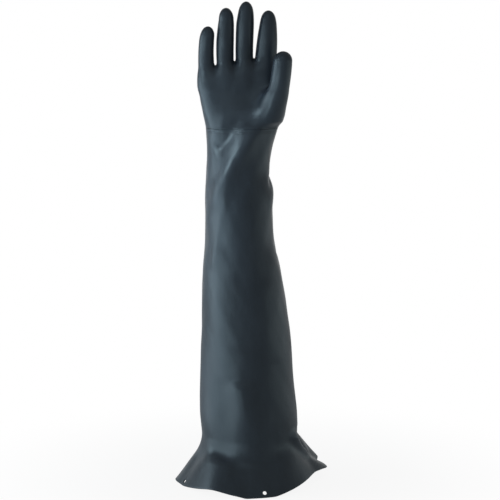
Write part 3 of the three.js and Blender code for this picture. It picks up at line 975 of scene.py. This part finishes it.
def make_floor():
    """A large disc: rings whose radius is a power of their even spacing, and a closed middle."""
    turn = np.linspace(0, 2 * np.pi, FLOOR_SPOKES, endpoint=False)
    radius = np.linspace(RING_START, 1, FLOOR_RINGS)[:, None] ** RING_POWER * FLOOR_RADIUS
    points = np.stack([radius * np.cos(turn), radius * np.sin(turn), 0 * radius * turn], -1).reshape(-1, 3)
    faces = [tuple(face) for face in grid_faces(FLOOR_RINGS, FLOOR_SPOKES)] + [tuple(range(FLOOR_SPOKES))]
    mesh = bpy.data.meshes.new("floor")
    mesh.from_pydata(points, [], faces)
    mesh.materials.append(floor_material())
    thing = bpy.data.objects.new("floor", mesh)
    bpy.context.scene.collection.objects.link(thing)
    return thing


floor = make_floor()
print("floor", 2 * FLOOR_RADIUS, "m across")

# %% [markdown]
# ## The light
#
# What shows the form of a black object is what it mirrors, so most lamps stand at its left. A tall soft one
# makes the long bright band down the sleeve, a small one with a grid lights the facet at the wrist, and two
# that lie on the table face up and light what leans down, above the cuff. The right side stays dark but for
# its edge. A ready-made studio picture round the scene would be quicker, but then no single highlight could
# be moved.

# %% The lamps
COLD = (0.78, 0.93, 1.03)
COOL = (0.85, 0.98, 1.0)
PALM_COLD = (0.8, 0.94, 1.03)
WHITE = (1, 1, 1)
LAMPS = {
    "left_softbox": dict(
        place=(-1.25, -0.01, 0.48), aim=(0, -0.01, 0.48), size=(0.72, 0.76), watts=5.6, colour=COLD),
    "wrist_softbox": dict(
        place=(-0.64, -0.39, 0.83), aim=(0, 0, 0.49), size=(0.45, 0.24), watts=0.17, colour=COLD, spread=28),
    "front_left_softbox": dict(
        place=(-1.25, -0.83, 0.28), aim=(0, -0.83, 0.28), size=(0.92, 0.56), watts=3.7, colour=COLD),
    "back_left_softbox": dict(
        place=(-2.3, 1.7, 0.34), aim=(0, 0, 0.34), size=(2.4, 0.66), watts=3.0, colour=COLD),
    "left_table": dict(
        place=(-0.98, -0.37, 0.012), aim=(-0.98, -0.37, 1), size=(1.53, 0.9), watts=6.5, colour=COLD,
        turn=46),
    "front_table": dict(
        place=(-0.8, -1.25, 0.012), aim=(-0.8, -1.25, 1), size=(0.5, 0.6), watts=10.0, colour=COLD),
    "right_fill": dict(
        place=(1.6, 0.2, 0.2), aim=(0, 0.2, 0.2), size=(2.2, 0.42), watts=2.0, colour=COOL),
    "back_right_fill": dict(
        place=(1.1, 1.25, 0.65), aim=(0, 0, 0.6), size=(1.5, 1.1), watts=0.5, colour=COOL),
    "palm_fill": dict(
        place=(-0.3, -2.0, 1.7), aim=(0, 0, 0.62), size=(0.8, 1.0), watts=1.7, colour=PALM_COLD),
    "backdrop": dict(
        place=(0, 1.8, 0.55), aim=(0, 0, 0.55), size=(2.6, 1.2), watts=4.5, colour=WHITE),
}


def soft_lamp(name, place, aim, size, watts, colour, spread=180, turn=0):
    """A rectangular area lamp at a place, aimed at another, and turned by some degrees about the upright
    axis. A spread below 180 degrees is a grid in front of it, which keeps its light from going wide."""
    lamp = bpy.data.lights.new(name, "AREA")
    lamp.shape = "RECTANGLE"
    lamp.size, lamp.size_y = size
    lamp.energy = watts
    lamp.color = colour
    lamp.spread = radians(spread)
    thing = bpy.data.objects.new(name, lamp)
    bpy.context.scene.collection.objects.link(thing)
    thing.location = place
    thing.rotation_euler = (Vector(aim) - Vector(place)).to_track_quat("-Z", "Y").to_euler()
    thing.rotation_euler.z += radians(turn)
    thing.visible_camera = False


for name, lamp in LAMPS.items():
    soft_lamp(name, **lamp)
print(len(LAMPS), "lamps with", round(sum(lamp["watts"] for lamp in LAMPS.values()), 1), "W in all")

# %% [markdown]
# ## The room and the camera
#
# The room round the glove is white to the camera and dim to everything else, so the background is pale and
# doesn't wash the rubber out. The camera has the photo's place: in front of the palm, as high as the
# fingers and looking slightly down, with a long lens that keeps the sides of the sleeve true.

# %% The world
ROOM_LIGHT = 0.36

world = bpy.data.worlds.new("studio")
bpy.context.scene.world = world
world.use_nodes = True
tree = world.node_tree
seen = tree.nodes["Background"]
seen.inputs["Color"].default_value = (1, 1, 1, 1)
seen.inputs["Strength"].default_value = 1.0
room = add_node(tree, "ShaderNodeBackground", Strength=ROOM_LIGHT)
which = add_node(tree, "ShaderNodeMixShader")
tree.links.new(add_node(tree, "ShaderNodeLightPath").outputs["Is Camera Ray"], which.inputs["Fac"])
tree.links.new(room.outputs["Background"], which.inputs[1])
tree.links.new(seen.outputs["Background"], which.inputs[2])
tree.links.new(which.outputs["Shader"], tree.nodes["World Output"].inputs["Surface"])
bpy.context.scene.view_settings.view_transform = "Standard"
print("room light", ROOM_LIGHT)

# %% The camera
CAMERA_AWAY = 2.5
CAMERA_Z = 0.717
CAMERA_DOWN = 7.63
LENS = 111.7
SENSOR = 36

camera = bpy.data.objects.new("camera", bpy.data.cameras.new("camera"))
bpy.context.scene.collection.objects.link(camera)
camera.location = (AXIS[0] * MM, AXIS[1] * MM - CAMERA_AWAY, CAMERA_Z)
camera.rotation_euler = (radians(90 - CAMERA_DOWN), 0, 0)
camera.data.sensor_width = SENSOR
camera.data.lens = LENS
bpy.context.scene.camera = camera
print("camera", CAMERA_AWAY, "m away,", CAMERA_DOWN, "degrees down")
